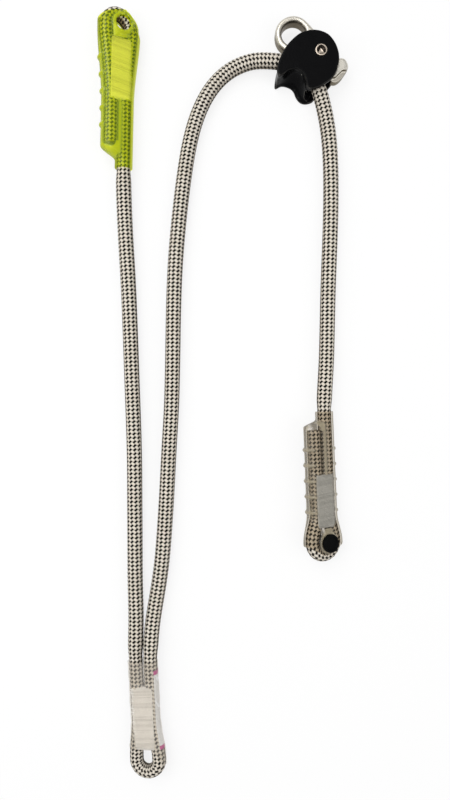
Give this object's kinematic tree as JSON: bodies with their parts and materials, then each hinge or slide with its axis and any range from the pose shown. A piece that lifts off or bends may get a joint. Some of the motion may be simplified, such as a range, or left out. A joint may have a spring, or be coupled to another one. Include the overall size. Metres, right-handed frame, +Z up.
{
  "type": "adjustable y-lanyard",
  "caption": "Rope lanyard laid out flat: a harness eye with a fixed arm to a moulded eye, and an adjustable arm through a cam rope adjuster to a plugged eye.",
  "frame": {"origin": "under the middle of the box round the sewn ends and the rope adjuster, on the surface that the lanyard lies on", "axes": "+Y from the harness eye towards the fixed end's eye and the adjuster, +X from the fixed arm towards the adjustable arm's tail, +Z up"},
  "size_m": [0.1778, 0.5506, 0.0227],
  "materials": {
    "kernmantle_rope": "woven sheath, cream with black flecks",
    "sewing_thread": "dense sewn block, matt",
    "lime_sleeve": "translucent moulded, soft gloss",
    "clear_sleeve": "translucent moulded, soft gloss",
    "label_strip": "bare white strip",
    "black_rubber": "satin",
    "black_anodised_aluminium": "black anodised, satin",
    "satin_aluminium": "tumbled and anodised, warm satin",
    "stainless_steel": "satin",
    "bearing_bronze": "turned",
    "spring_steel": "drawn wire"
  },
  "bodies": {
    "lanyard": {"fixed_end_eye_rope": "kernmantle_rope", "fixed_end_stitching": "sewing_thread", "fixed_end_sleeve": "lime_sleeve", "free_end_eye_rope": "kernmantle_rope", "free_end_stitching": "sewing_thread", "free_end_sleeve": "clear_sleeve", "free_end_eye_plug": "black_rubber", "harness_eye_rope": "kernmantle_rope", "harness_stitching": "sewing_thread", "harness_sleeve": "clear_sleeve", "harness_label": "label_strip", "fixed_arm_rope": "kernmantle_rope", "adjustable_arm_rope": "kernmantle_rope", "tail_rope": "kernmantle_rope"},
    "adjuster": {"adjuster_body": "black_anodised_aluminium", "adjuster_rope": "kernmantle_rope", "axle_bolt": "stainless_steel", "axle_sleeve_nut": "stainless_steel", "cam_bush": "bearing_bronze", "front_washer": "bearing_bronze", "back_washer": "bearing_bronze", "cam_spring": "spring_steel"},
    "cam": {"cam": "satin_aluminium"}
  },
  "joints": [
    {"name": "adjuster_slide", "type": "slide", "parent": "lanyard", "child": "adjuster", "axis": [0.8415, -0.5403, 0], "range_m": [-0.03, 0.04], "deforming": ["adjustable_arm_rope", "tail_rope"]},
    {"name": "cam_pivot", "type": "hinge", "parent": "adjuster", "child": "cam", "pos_m": [0.06883, 0.23964, 0.0097], "axis": [0, 0, 1], "range_deg": [0, 12], "stiffness_Nm_per_rad": 0.05, "springref_deg": -20.05, "deforming": ["cam_spring", "adjuster_rope"]}
  ]
}
